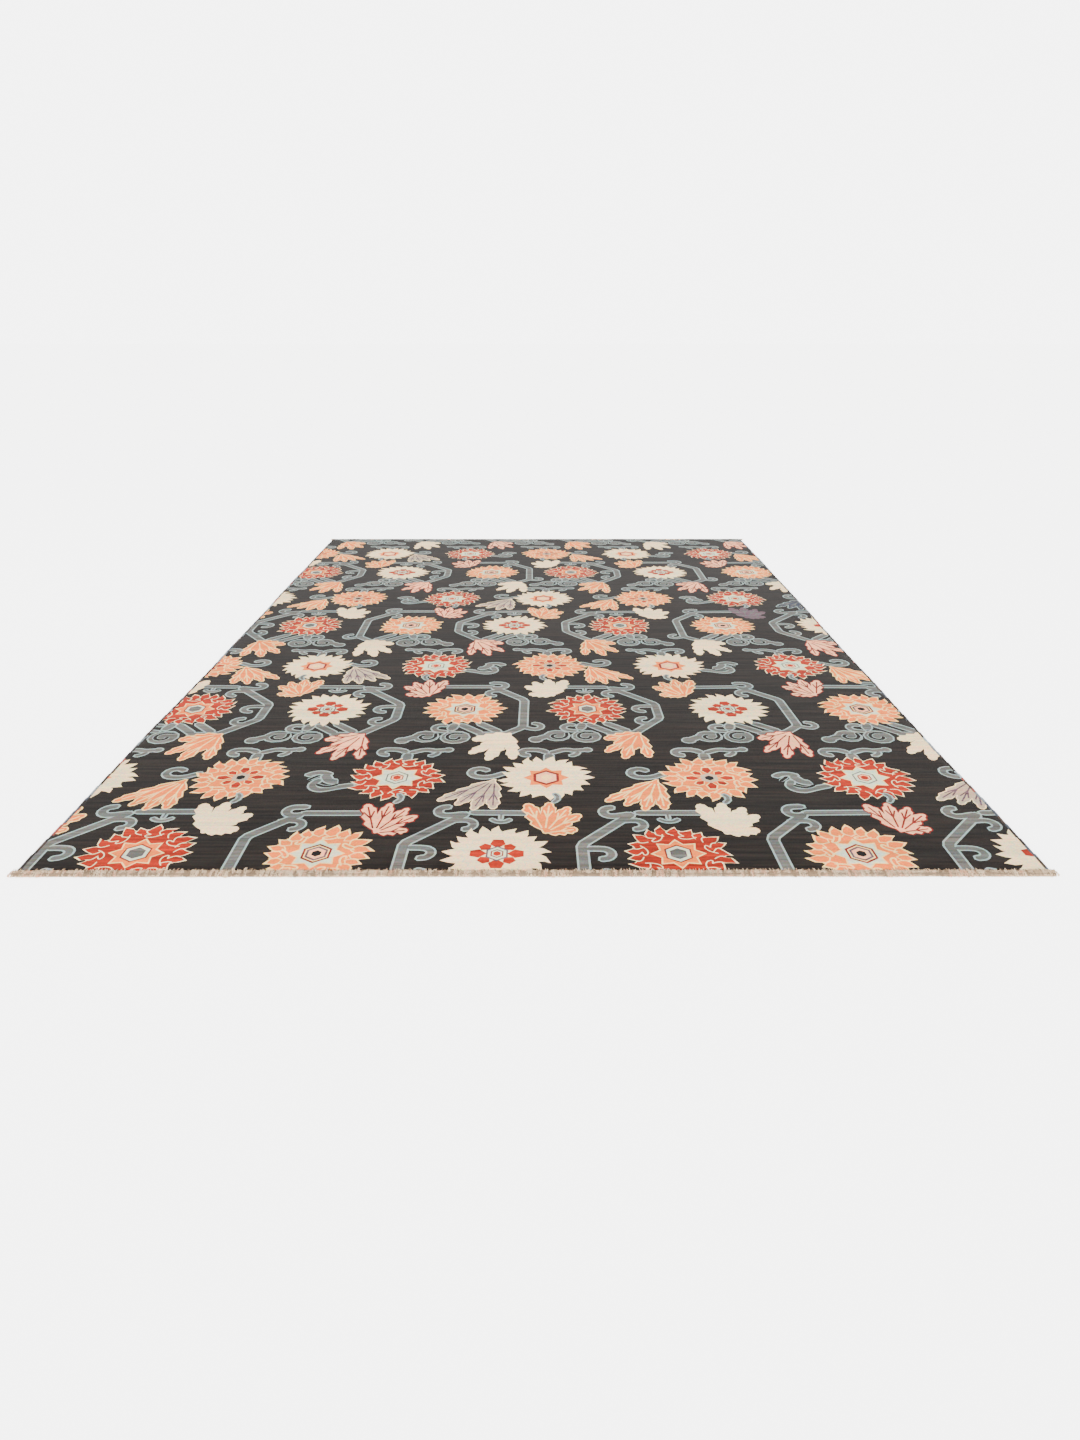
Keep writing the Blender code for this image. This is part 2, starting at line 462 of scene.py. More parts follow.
def seed(inner, outer, width, degrees):
    """A teardrop that points to the flower's middle."""
    middle = inner + 0.55 * (outer - inner)
    spread = math.degrees(width / middle / 2)
    return [
        polar(inner, degrees),
        polar(middle, degrees - spread),
        polar(outer, degrees - spread * 0.45),
        polar(outer, degrees + spread * 0.45),
        polar(middle, degrees + spread),
    ]


def petal_ring(petals, valley, shoulder, tip):
    """The outline of a ring of petals, from the radius of its valleys, shoulders and tips."""
    outline = []
    for degrees, reach, lean in petals:
        sides = [(shoulder * reach, part) for part in (-0.30, 0.30)]
        steps = ((valley, -0.5), sides[0], (tip * reach, lean), sides[1])
        outline += [polar(radius * FLOWER_RADIUS, degrees + part * PITCH) for radius, part in steps]
    return outline


def zigzag(petals, low, high):
    """A toothed ring, low behind each petal and high between them."""
    steps = ((high, -0.5), (low, 0.0))
    return [
        polar(radius * FLOWER_RADIUS, degrees + part * PITCH)
        for degrees, _, _ in petals for radius, part in steps
    ]


# The folds between petals, by the petals' dye: (the share that their outline takes, a fold, and the
# curl inside every third petal), both as (share of the radius, degrees)
PETAL_FOLDS = {
    "red": (
        0.03,
        [(0.86, 0.0), (0.78, 2.0), (0.71, -1.5), (0.66, -8.0)],
        [(0.74, 0), (0.62, 5), (0.55, 15), (0.57, 26), (0.64, 28), (0.66, 19)],
    ),
    "peach": (
        0.045,
        [(0.86, 0.0), (0.77, 1.5), (0.70, -1.0)],
        [(0.70, 0), (0.60, 6), (0.52, 16), (0.53, 27), (0.60, 29), (0.62, 20)],
    ),
}


def draw_petals(chart, petals, fill, line, width):
    """Fills the outer ring of petals, and draws the folds between them, which curl inward."""
    outlined, fold, hooked = PETAL_FOLDS[fill]
    chart.put(petal_ring(petals, 0.83 - outlined, 0.92 - outlined, 1.04 - 1.7 * outlined), fill)
    if fill == "peach":
        chart.put(zigzag(petals, 0.645, 0.735), line)
        chart.put(zigzag(petals, 0.61, 0.70), fill)
    for degrees, _, _ in petals:
        chart.put(ribbon(polar_line(fold, degrees - PITCH / 2), width), line)
    for degrees, _, _ in petals[::3]:
        chart.put(ribbon(polar_line(hooked, degrees), width), line)


def polar_line(way, turn):
    """A line of (share of the flower's radius, degrees) as points."""
    return [polar(part * FLOWER_RADIUS, turn + degrees) for part, degrees in way]


def draw_seeds(chart, inner, outer, width, dye):
    """Eight teardrops round the middle, every second one smaller."""
    for i in range(8):
        small = 0.85 if i % 2 else 1.0
        drop = seed(inner * FLOWER_RADIUS, outer * small * FLOWER_RADIUS, width * small, 45 * i)
        chart.put(drop, dye)


def draw_star(chart, reach, valley, dye, line):
    """An eight-pointed star, with an edge of its own yarn if it has one."""
    if line:
        chart.put(star(reach * FLOWER_RADIUS, valley * FLOWER_RADIUS), line)
        reach, valley = reach - 0.055, valley - 0.035
    chart.put(star(reach * FLOWER_RADIUS, valley * FLOWER_RADIUS), dye)


# Round the middle of a flower head, by its tier and its dye: a star as (tips' and valleys' radius,
# yarn, edge), or rings of seeds as (inner radius, outer radius, width in millimetres, yarn)
STARS = {
    ("upper", "R"): (0.55, 0.38, "pale", "straw"),
    ("lower", "R"): (0.52, 0.36, "peach", "straw"),
    ("lower", "P"): (0.54, 0.38, "pale", "straw"),
    ("upper", "C"): (0.50, 0.36, "peach", None),
}
SEEDS = {
    ("upper", "P"): ((0.17, 0.53, 36, "straw"), (0.19, 0.49, 27, "red")),
    ("lower", "C"): ((0.19, 0.52, 42, "red"),),
}

# The middle of each flower head, by its tier and its dye: nested hexagons as (radius, yarn)
HEARTS = {
    ("upper", "R"): (
        (0.27, "slate"), (0.235, "pale"), (0.16, "brick"), (0.13, "blush"), (0.09, "red"),
    ),
    ("lower", "R"): ((0.28, "brick"), (0.245, "pale"), (0.17, "mauve"), (0.145, "slate")),
    ("upper", "P"): ((0.20, "stone"), (0.10, "soot")),
    ("lower", "P"): (
        (0.31, "brick"), (0.26, "straw"), (0.23, "mauve"), (0.18, "blush"), (0.10, "soot"),
    ),
    ("upper", "C"): ((0.32, "brick"), (0.25, "blush"), (0.13, "straw")),
    ("lower", "C"): ((0.24, "mauve"), (0.20, "pale"), (0.14, "brick"), (0.11, "pale"), (0.08, "red")),
}


def draw_heart(chart, tier, dye):
    """The middle of a flower head, which differs with its row and its dye."""
    if (tier, dye) in STARS:
        draw_star(chart, *STARS[tier, dye])
    for inner, outer, width, colour in SEEDS.get((tier, dye), ()):
        draw_seeds(chart, inner, outer, width, colour)
    for radius, colour in HEARTS[tier, dye]:
        chart.put(hexagon(radius * FLOWER_RADIUS), colour)


def draw_flower(chart, tier, dye, draws):
    """A round head of pointed petals, each a little different."""
    start = draws.uniform(0, PITCH)
    petals = []
    for i in range(PETALS):
        degrees = start + PITCH * (i + draws.uniform(-0.12, 0.12))
        petals.append((degrees, draws.uniform(0.93, 1.07), draws.uniform(-0.45, 0.15)))
    if dye == "C":
        chart.put(petal_ring(petals, 0.82, 0.91, 1.04), "cream")
        chart.put(zigzag(petals, 0.61, 0.70), "pale")
        chart.put(zigzag(petals, 0.585, 0.675), "cream")
    else:
        fill, line, width = {"R": ("red", "cream", 3.2), "P": ("peach", "straw", 5.5)}[dye]
        chart.put(petal_ring(petals, 0.83, 0.92, 1.04), line)
        draw_petals(chart, petals, fill, line, width)
    draw_heart(chart, tier, dye)


# Where the motifs stand. Across the rug, the flowers' places from its middle, in metres.

COLUMNS = {
    ("upper", "left"): (-1.294, -0.855, -0.404, 0.034, 0.509, 0.957, 1.426),
    ("upper", "right"): (-1.267, -0.842, -0.381, 0.055, 0.513, 0.985),
    ("lower", "left"): (-0.990, -0.544, -0.094, 0.363, 0.816, 1.286),
    ("lower", "right"): (-1.166, -0.711, -0.241, 0.178, 0.657, 1.117),
}

# Along the rug, each row: (tier, facing, metres from the near end to its flowers, the flowers' dyes,
# beside each flower a curl with a leaf (c), a scroll (s), a hooked vine (h) or a plain one (p),
# the dyes of the leaves that hang below)
ROWS = (
    ("lower", "left", 0.075, "RPCRPC", "hphhph", "PCKPCK"),
    ("upper", "left", 0.495, "CPRCPRC", "ccsccsc", "PCKPCKP"),
    ("lower", "right", 1.020, "RCPRCP", "hhphpp", "PKCPKC"),
    ("upper", "right", 1.456, "PCRPCR", "ccscsc", "CPKCPK"),
    ("lower", "left", 1.976, "RPCRPC", "hphhph", "PCKPCK"),
    ("upper", "left", 2.406, "CPRCPRB", "ccsccsc", "PCKPCMP"),
    ("lower", "right", 2.921, "RCPRCP", "hhphpp", "PKCPKC"),
    ("upper", "right", 3.346, "PCRPCR", "ccscsc", "CPKCPK"),
    ("lower", "left", 3.868, "RPCRPC", "hphhph", "PCKPCK"),
)
SIDE_LEAF_DYES = {"C": "S", "P": "P", "R": "P", "B": "B"}


def rows_in_place():
    """Each motif's place and choices: (tier, flip, x, y, flower, beside, leaf), in millimetres."""
    for tier, facing, along, flowers, beside, leaves in ROWS:
        for across, flower, companion, leaf in zip(COLUMNS[tier, facing], flowers, beside, leaves):
            place = (across / MM, (along - FIELD_END) / MM)
            yield (tier, facing == "right", *place, flower, companion, leaf)


def draw_chart(draws):
    """The whole field: stems below, flower heads over them, then leaves and the short stems."""
    chart = Chart()
    motifs = []
    for tier, flip, across, along, flower, beside, leaf in rows_in_place():
        turn = math.radians(draws.uniform(-1.5, 1.5))
        size = draws.uniform(0.98, 1.02)
        motifs.append(((across, along, flip, turn, size), tier, flower, beside, leaf))
    for place, tier, _, beside, _ in motifs:
        with chart.at(*place):
            if tier == "lower":
                draw_stems(chart, HOOKED_VINE if beside == "h" else PLAIN_VINE)
                draw_stems(chart, CLOUD, CLOUD_KNOBS, CLOUD_SLITS)
            else:
                draw_stems(chart, MOUSTACHE, MOUSTACHE_KNOBS)
                if beside == "c":
                    draw_stems(chart, CURL)
                else:
                    draw_stems(chart, SCROLL, (), SCROLL_SLITS)
    for place, tier, flower, beside, _ in motifs:
        with chart.at(*place):
            if beside == "c":
                with chart.at(-150, -10):
                    draw_leaf(chart, SIDE_LEAF, SIDE_LEAF_DYES[flower])
            draw_flower(chart, tier, "C" if flower == "B" else flower, draws)
    for place, tier, _, _, leaf in motifs:
        with chart.at(*place):
            if tier == "upper":
                draw_stems(chart, UNDER_STEM)
                with chart.at(-10, -315):
                    draw_leaf(chart, RISING_LEAF, leaf)
            else:
                with chart.at(-160, -205):
                    draw_leaf(chart, HANGING_LEAF, leaf)
    return chart


# How the weaver's lines wander: (waves in a metre, a place in the noise, metres aside). The sway
# along the rug is read from another place in the noise than the sway across it.
SWAYS = ((1.3, 0.0, 6.0 * MM), (7.0, 3.0, 2.2 * MM))
SWAY_ALONG = Vector((31.7, 17.3, 5.1))


def hand_of_the_weaver(across, along):
    """Where a charted point ends up on the rug: straight lines come out slightly uneven, in metres."""
    x, y = across, along
    for waves, layer, reach in SWAYS:
        here = Vector((across * waves, along * waves, layer))
        x += noise.noise(here) * reach
        y += noise.noise(here + SWAY_ALONG) * reach
    return x, y


def knot_plan(sizes):
    """The chart cut into triangles within the pile's outline: (points, triangles, yarn of each)."""
    walls = side_walls("rug_field")
    end = FIELD_END - sizes.rim
    lines = [min(max(along, -end), end) for along, _, _ in walls[1:-1]]
    left = [(wall_at(walls, along, LEFT) + sizes.rim, along) for along in lines]
    right = [(wall_at(walls, along, RIGHT) - sizes.rim, along) for along in lines]
    near = [(x * sizes.cell, -end) for x in range(-26, 27)]
    far = [(x * sizes.cell, end) for x in range(26, -27, -1)]
    border = near + right + far + left[::-1]

    chart = draw_chart(random.Random("chart"))
    points = [Vector(point) for point in border]
    loops = [list(range(len(points)))]
    yarns = ["ground"]
    for outline, colour in chart.shapes:
        placed = [hand_of_the_weaver(p.x * MM, p.y * MM) for p in outline]
        if not any(abs(x) < 1.3 and abs(y) < FIELD_END + 0.05 for x, y in placed):
            continue
        loops.append(list(range(len(points), len(points) + len(placed))))
        points += [Vector(point) for point in placed]
        yarns.append(colour)
    for row in range(-41, 42):
        for column in range(-26, 27):
            points.append(Vector(((column + 0.5 * (row % 2)) * sizes.cell, row * sizes.cell)))
    found = delaunay_2d_cdt(points, [], loops, 1, 1e-6, True)
    corners, triangles, covers = found[0], found[2], found[5]
    kept = [(triangle, yarns[max(ids)]) for triangle, ids in zip(triangles, covers) if 0 in ids]
    return corners, [triangle for triangle, _ in kept], [colour for _, colour in kept]


# Meshes

def finished(name, bm, material):
    """Turns a bmesh into a smooth shaded piece that rides with the rug."""
    mesh = bpy.data.meshes.new(name)
    bm.to_mesh(mesh)
    bm.free()
    mesh.materials.append(material)
    mesh.shade_smooth()
    piece = bpy.data.objects.new(name, mesh)
    bpy.context.scene.collection.objects.link(piece)
    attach(piece, "root")
    return piece


def outward(vertex):
    """The way out of the slab at a vertex of its rim, mitred at the corners."""
    way = Vector((0.0, 0.0))
    for edge in vertex.link_edges:
        if edge.is_boundary:
            run = (edge.verts[1].co - edge.verts[0].co).to_2d().normalized()
            across = Vector((run.y, -run.x))
            middle = (edge.verts[0].co + edge.verts[1].co) / 2
            inside = edge.link_faces[0].calc_center_median()
            if across.dot((middle - inside).to_2d()) < 0:
                across.negate()
            way += across
    way.normalize()
    return (way / max(way.dot(across), 0.6)).to_3d()


# The share of the unrolled map that the hidden face is shrunk to
HIDDEN_UV = 0.002


def charted_slab(name, plan, dyes, level, rim, material):
    """A slab with the chart on one face, a rim drawn out of it step by step, and a plain hidden face.

    Each step of the rim is (metres out from the chart, height). The chart has no modelling
    operator of its own, so its triangles are laid one by one; the rest is drawn out of them.
    """
    corners, triangles, yarns = plan
    names = list(dyes)
    bm = bmesh.new()
    dye = bm.faces.layers.int.new("dye")
    way = bm.verts.layers.float_vector.new("way")
    flat = bm.verts.layers.float_vector.new("flat")
    vertices = [bm.verts.new((corner.x, corner.y, level)) for corner in corners]
    for triangle, colour in zip(triangles, yarns):
        face = bm.faces.new([vertices[i] for i in triangle])
        face[dye] = names.index(colour)
    bmesh.ops.delete(bm, geom=[v for v in bm.verts if not v.link_faces], context="VERTS")
    for vertex in bm.verts:
        vertex[flat] = vertex.co
    edge_loop = [edge for edge in bm.edges if edge.is_boundary]
    for vertex in {vertex for edge in edge_loop for vertex in edge.verts}:
        vertex[way] = outward(vertex)
    out_before, height_before = 0.0, level
    for out, height in rim:
        made = bmesh.ops.extrude_edge_only(bm, edges=edge_loop)["geom"]
        for edge in edge_loop:
            charted, drawn = sorted(edge.link_faces, key=lambda face: face in made)
            drawn[dye] = charted[dye]
        for vertex in (item for item in made if isinstance(item, bmesh.types.BMVert)):
            vertex.co += vertex[way] * (out - out_before)
            vertex.co.z = height
            vertex[flat] += vertex[way] * math.hypot(out - out_before, height - height_before)
        edge_loop = [
            item for item in made if isinstance(item, bmesh.types.BMEdge) and item.is_boundary
        ]
        out_before, height_before = out, height
    hidden = bmesh.ops.edgeloop_fill(bm, edges=edge_loop)["faces"]
    hidden = bmesh.ops.triangulate(bm, faces=hidden)["faces"]
    bmesh.ops.recalc_face_normals(bm, faces=bm.faces)

    yarn_layer = bm.loops.layers.float_color.new("yarn")
    unrolled = bm.loops.layers.uv.new("unrolled")
    width = max(abs(vertex[flat].x) for vertex in bm.verts) * 2
    length = max(abs(vertex[flat].y) for vertex in bm.verts) * 2
    hidden = set(hidden)
    for face in bm.faces:
        colour = (*dyes[names[face[dye]]], 1.0)
        for loop in face.loops:
            loop[yarn_layer] = colour
            u = loop.vert[flat].x / width + 0.5
            v = loop.vert[flat].y / length + 0.5
            share = HIDDEN_UV if face in hidden else 1.0
            loop[unrolled].uv = (u * share, v * share)
    for layer in (way, flat):
        bm.verts.layers.float_vector.remove(layer)
    return finished(name, bm, material)


# Materials

def add(tree, kind, inputs=None, **settings):
    """A node with its settings. Each input is a value, or the output that feeds it."""
    node = tree.nodes.new(kind)
    for name, value in settings.items():
        setattr(node, name, value)
    for socket, value in (inputs or {}).items():
        if isinstance(value, bpy.types.NodeSocket):
            tree.links.new(value, node.inputs[socket])
        else:
            node.inputs[socket].default_value = value
    return node


def new_material(name):
    """An empty material: (material, its node tree, its shader)."""
    material = bpy.data.materials.new(name)
    material.use_nodes = True
    tree = material.node_tree
    return material, tree, tree.nodes["Principled BSDF"]


def mottling(tree, spacing, low, high, detail=2.0):
    """Blotches from low to high, as large as spacing, (x, y, z) in millimetres."""
    place = add(tree, "ShaderNodeTexCoord").outputs["Object"]
    scale = tuple(1 / (size * MM) for size in spacing)
    mapped = add(tree, "ShaderNodeMapping", {"Vector": place, "Scale": scale}).outputs[0]
    blotches = add(tree, "ShaderNodeTexNoise", {"Vector": mapped, "Scale": 1.0, "Detail": detail})
    return add(tree, "ShaderNodeMapRange", {
        "Value": blotches.outputs["Fac"], "From Min": 0.25, "From Max": 0.75,
        "To Min": low, "To Max": high,
    }).outputs[0]


def shade_yarn(tree, colour, shade, bump):
    """Gives the shader its colour, made lighter or darker by the shade, and its relief."""
    shader = tree.nodes["Principled BSDF"]
    dyed = add(tree, "ShaderNodeVectorMath", {0: colour, "Scale": shade}, operation="SCALE")
    tree.links.new(dyed.outputs[0], shader.inputs["Base Color"])
    tree.links.new(bump.outputs["Normal"], shader.inputs["Normal"])


def finish_yarn(shader, roughness, specular, sheen):
    """How a yarn takes the light. Sheen is the pale haze of its loose fibres."""
    shader.inputs["Roughness"].default_value = roughness
    shader.inputs["Specular IOR Level"].default_value = specular
    shader.inputs["Sheen Weight"].default_value = sheen
    shader.inputs["Sheen Roughness"].default_value = 0.4


# One knot in millimetres. They are about 3 mm wide on such a rug, and drawn a little coarser so that
# they show.
KNOT = 3.6


def knotted_wool():
    """Hand-spun wool knotted and clipped: matt, with a speckle of knots, and fine streaks across the
    rug where each row's dye lot differs a little. Dark yarn is streaked more than light yarn."""
    material, tree, shader = new_material("hand_knotted_wool_pile")
    yarn_colour = add(tree, "ShaderNodeAttribute", attribute_name="yarn").outputs["Color"]
    lightness = add(tree, "ShaderNodeRGBToBW", {"Color": yarn_colour}).outputs[0]
    how_light = add(tree, "ShaderNodeMapRange", {
        "Value": lightness, "From Min": 0.02, "From Max": 0.15,
    }).outputs[0]
    shade = add(tree, "ShaderNodeMix", {
        "Factor": how_light,
        "A": mottling(tree, (210, 11, 50), 0.15, 2.05, 4.0),
        "B": mottling(tree, (210, 11, 50), 0.86, 1.14, 4.0),
    }).outputs[0]
    bands = mottling(tree, (1400, 70, 50), 0.90, 1.12)
    fibres = mottling(tree, (1.3, 1.3, 1.3), 0.85, 1.15)
    for layer in (bands, fibres):
        shade = add(tree, "ShaderNodeMath", {0: shade, 1: layer}, operation="MULTIPLY").outputs[0]
    tint = add(tree, "ShaderNodeValToRGB", {"Fac": mottling(tree, (900, 26, 50), 0.25, 0.75, 3.0)})
    cool, warm = tint.color_ramp.elements
    cool.position, cool.color = 0.30, (0.87, 1.00, 1.00, 1.0)
    warm.position, warm.color = 0.70, (1.15, 1.00, 0.90, 1.0)
    place = add(tree, "ShaderNodeTexCoord").outputs["Object"]
    knots = add(tree, "ShaderNodeTexVoronoi", {
        "Vector": place, "Scale": 1 / (KNOT * MM), "Randomness": 0.8,
    })
    colour = add(tree, "ShaderNodeVectorMath", {
        0: knots.outputs["Color"], 1: (0.36, 0.36, 0.36), 2: (0.82, 0.82, 0.82),
    }, operation="MULTIPLY_ADD").outputs[0]
    for layer in (tint.outputs["Color"], yarn_colour):
        colour = add(
            tree, "ShaderNodeVectorMath", {0: colour, 1: layer}, operation="MULTIPLY"
        ).outputs[0]
    bump = add(tree, "ShaderNodeBump", {
        "Strength": 0.45, "Distance": 0.7 * MM, "Height": knots.outputs["Distance"],
    }, invert=True)
    shade_yarn(tree, colour, shade, bump)
    finish_yarn(shader, 0.95, 0.08, 0.025)
    return material


# A wave texture of scale 1 repeats after this many units
WAVE_REPEAT = 0.314


def woven_back():
    """The flat underside: the same knots seen from behind between rows of weft, so a little duller.
    Its rows are drawn two knots apart so that they show, and its grooves are darkened with painted
    shade."""
    material, tree, shader = new_material("knotted_wool_back")
    yarn_colour = add(tree, "ShaderNodeAttribute", attribute_name="yarn").outputs["Color"]
    place = add(tree, "ShaderNodeTexCoord").outputs["Object"]
    rows = add(tree, "ShaderNodeTexWave", {
        "Vector": place, "Scale": WAVE_REPEAT / (2 * KNOT * MM), "Distortion": 0.6, "Detail": 1.0,
    }, bands_direction="Y").outputs["Fac"]
    columns = add(tree, "ShaderNodeTexWave", {
        "Vector": place, "Scale": WAVE_REPEAT / (KNOT * MM),
    }, bands_direction="X").outputs["Fac"]
    weave = add(tree, "ShaderNodeMath", {0: rows, 1: columns}, operation="MULTIPLY").outputs[0]
    # Painted shade: the weave pattern that gives the bump also darkens the colour in its grooves and
    # lightens it a little on its crests
    shade = add(tree, "ShaderNodeMapRange", {
        "Value": weave, "To Min": 0.72, "To Max": 1.08,
    }).outputs[0]
    mottle_and_groove_shade = add(tree, "ShaderNodeMath", {
        0: shade, 1: mottling(tree, (160, 9, 50), 0.85, 1.12, 3.0),
    }, operation="MULTIPLY").outputs[0]
    weft = add(tree, "ShaderNodeMix", {
        "Factor": 0.12, 6: yarn_colour, 7: (*linear("#B9A890"), 1.0),
    }, data_type="RGBA").outputs[2]
    bump = add(tree, "ShaderNodeBump", {"Strength": 0.5, "Distance": 0.5 * MM, "Height": weave})
    shade_yarn(tree, weft, mottle_and_groove_shade, bump)
    finish_yarn(shader, 0.9, 0.25, 0.0)
    return material


def overcast_wool():
    """Thick wool yarn wound tightly round the side cords: matt ribs with fibres along each turn."""
    material, tree, shader = new_material("overcast_wool_yarn")
    yarn_colour = add(tree, "ShaderNodeAttribute", attribute_name="yarn").outputs["Color"]
    fibres = mottling(tree, (3.0, 0.6, 3.0), 0.75, 1.25)
    bump = add(tree, "ShaderNodeBump", {"Strength": 0.5, "Distance": 0.3 * MM, "Height": fibres})
    shade_yarn(tree, yarn_colour, fibres, bump)
    finish_yarn(shader, 0.92, 0.1, 0.05)
    return material


# The darkest stops colour the knot band, as painted shade between and under the bundles, and a few
# dark stray yarns
WARP_SHADES = (
    (0.0, "#3A312A"), (0.05, "#6E5C4A"), (0.12, "#967D62"), (0.45, "#C2A685"), (0.8, "#DEC7A6"),
    (1.0, "#CE9C7C"),
)


def warp_wool():
    """Undyed wool warp ends, plied and frayed: matt beige, each yarn a little lighter or darker."""
    material, tree, shader = new_material("undyed_wool_warp")
    yarn_shade = add(tree, "ShaderNodeAttribute", attribute_name="shade").outputs["Fac"]
    patched = add(tree, "ShaderNodeMath", {
        0: yarn_shade, 1: mottling(tree, (26, 26, 26), 0.55, 1.25),
    }, operation="MULTIPLY").outputs[0]
    colour = add(tree, "ShaderNodeValToRGB", {"Fac": patched})
    ramp = colour.color_ramp.elements
    while len(ramp) < len(WARP_SHADES):
        ramp.new(0.5)
    for element, (position, hex_colour) in zip(ramp, WARP_SHADES):
        element.position = position
        element.color = (*linear(hex_colour), 1.0)
    fibres = mottling(tree, (0.9, 0.9, 0.9), 0.85, 1.15)
    bump = add(tree, "ShaderNodeBump", {"Strength": 0.4, "Distance": 0.5 * MM, "Height": fibres})
    shade_yarn(tree, colour.outputs["Color"], fibres, bump)
    finish_yarn(shader, 0.95, 0.1, 0.05)
    return material


# The pieces

def dyed_yarns(settings):
    """The yarns' colours by name."""
    return {name: tuple(getattr(settings, name)) for name in RugYarns.__annotations__}


# How the pile rolls down at its rim: (share of the rim's width, metres below the top). Then it goes
# straight down and laps a little over the back.
ROLL = ((0.5, 0.5 * MM), (0.85, 1.6 * MM), (1.0, 3.2 * MM))
PILE_LAP = 0.2 * MM
CLOTH_LENGTH = FIELD_HIGH[1] - FIELD_LOW[1]


class RUG_OT_weave(bpy.types.Operator):
    """Weave the pile and the back of the rug from its chart"""
    bl_idname = "rug.weave"
    bl_label = "Pile and back"

    def execute(self, context):
        sizes = context.scene.rug_sizes
        dyes = dyed_yarns(context.scene.rug_yarns)
        plan = knot_plan(sizes)
        rolled = [(share * sizes.rim, FIELD_TOP - below) for share, below in ROLL]
        rolled.append((sizes.rim, sizes.back - PILE_LAP))
        pile = charted_slab("rug_pile", plan, dyes, FIELD_TOP, rolled, knotted_wool())
        self.clip_unevenly(pile, sizes)
        back = charted_slab("rug_back", plan, dyes, 0.0, [(0.0, sizes.back)], woven_back())
        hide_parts("rug_field")
        return {"FINISHED"}

    def clip_unevenly(self, pile, sizes):
        """Lets the clipped surface rise and fall a little."""
        for vertex in pile.data.vertices:
            if vertex.co.z > FIELD_TOP - 1.0 * MM:
                wave = noise.noise(Vector((vertex.co.x * 5.0, vertex.co.y * 5.0, 7.0)))
                vertex.co.z -= sizes.unevenness * (0.5 + wave)


# The side cords. Each yarn is (colour, how often it is wound)
CORD_SIDES = 8
RINGS_PER_WRAP = 3
CORD_HEIGHT = 8.1 * MM
CORD_WIDTH = 10.4 * MM
CORD_FROM_WALL = 5.2 * MM
CORD_YARNS = (
    ("#2E2927", 10), ("#463A34", 6), ("#4C5058", 4), ("#7D8488", 2), ("#8E4A44", 2), ("#9AA9AE", 1),
)


class RUG_OT_overcast(bpy.types.Operator):
    """Wind wool yarn round the cord along each long side"""
    bl_idname = "rug.overcast"
    bl_label = "Side cords"

    def execute(self, context):
        sizes = context.scene.rug_sizes
        material = overcast_wool()
        for name, column, side in (("left", LEFT, -1), ("right", RIGHT, 1)):
            cord = self.wind(name, column, side, sizes, material)
            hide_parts("selvedge_" + name)
        return {"FINISHED"}

    def wind(self, name, column, side, sizes, material):
        """One ribbed cord: a grid rolled up round the side of the pile and closed along its seam."""
        draws = random.Random("cord " + name)
        walls = side_walls("rug_field")
        wraps = round(CLOTH_LENGTH / sizes.wrap)
        bm = bmesh.new()
        bmesh.ops.create_grid(bm, x_segments=wraps * RINGS_PER_WRAP, y_segments=CORD_SIDES, size=0.5)
        turn_yarn = self.yarn_runs(wraps, draws)
        plump = [draws.uniform(0.94, 1.04) for _ in range(wraps + 1)]
        yarn_layer = bm.verts.layers.float_color.new("yarn")
        for vertex in bm.verts:
            station = (vertex.co.x + 0.5) * wraps
            angle = (vertex.co.y + 0.5) * 2 * math.pi
            wrap = min(int(station + 1e-6), wraps - 1)
            rib = 0.86 + 0.16 * abs(math.sin(math.pi * station)) * plump[wrap]
            along = (station / wraps - 0.5) * CLOTH_LENGTH
            leaning = 0.45 * sizes.wrap * math.cos(angle)
            along = min(max(along + leaning, FIELD_LOW[1]), FIELD_HIGH[1])
            wall = wall_at(walls, along, column)
            vertex.co = (
                wall + side * (CORD_FROM_WALL + math.cos(angle) * rib * CORD_WIDTH / 2),
                along,
                CORD_HEIGHT / 2 * (1 + math.sin(angle) * rib),
            )
            vertex[yarn_layer] = (*turn_yarn[wrap], 1.0)
        bmesh.ops.remove_doubles(bm, verts=bm.verts, dist=1e-6)
        bmesh.ops.holes_fill(bm, edges=[edge for edge in bm.edges if edge.is_boundary], sides=0)
        bmesh.ops.recalc_face_normals(bm, faces=bm.faces)
        return finished("overcast_" + name, bm, material)

    def yarn_runs(self, wraps, draws):
        """The dye of each turn: one yarn is wound for a while, then the next."""
        colours = [linear(hex_colour) for hex_colour, _ in CORD_YARNS]
        weights = [weight for _, weight in CORD_YARNS]
        runs = []
        while len(runs) < wraps:
            colour = draws.choices(colours, weights)[0]
            for _ in range(draws.randint(3, 22)):
                shade = draws.uniform(0.8, 1.2)
                runs.append(tuple(channel * shade for channel in colour))
        return runs


# The fringes
BUNDLE_KINDS = 30
CURL_KINDS = 12
YARNS_IN_BUNDLE = 5
YARN_STEPS = 8
FRINGE_REACH = 25.5 * MM
FRINGE_HEIGHT = 6.4 * MM
PLY = 9.0 * MM
TUFTS = 9
# The knot band's near-black yarn is painted shade in the gaps between and under the bundles
BAND_PAINTED_SHADE = 0.08
BUNDLE_TONES = (0.12, 0.45, 0.7, 0.95)
STRAY_TONES = (0.04, 0.3, 0.6, 0.8, 0.95)

# Each end's (name, turn, share of bundles with a stray end, height). The far end is seen over the
# pile, where nothing stands up.
FRINGE_ENDS = (("near", 0.0, 0.8, 1.0), ("far", math.pi, 0.05, 0.82))

# A stray end that curls back over the pile: (share of its lean, out of the cloth and up in
# millimetres, what its lift adds to each)
STRAY_END = (
    (0.0, -5.5, 5.0, 0, 0), (0.2, -4.2, 7.2, 0, 0.5), (0.5, -1.6, 8.4, 0, 1),
    (0.8, 0.8, 8.9, 1, 0.8), (1.0, 2.2, 8.9, 2, 0),
)


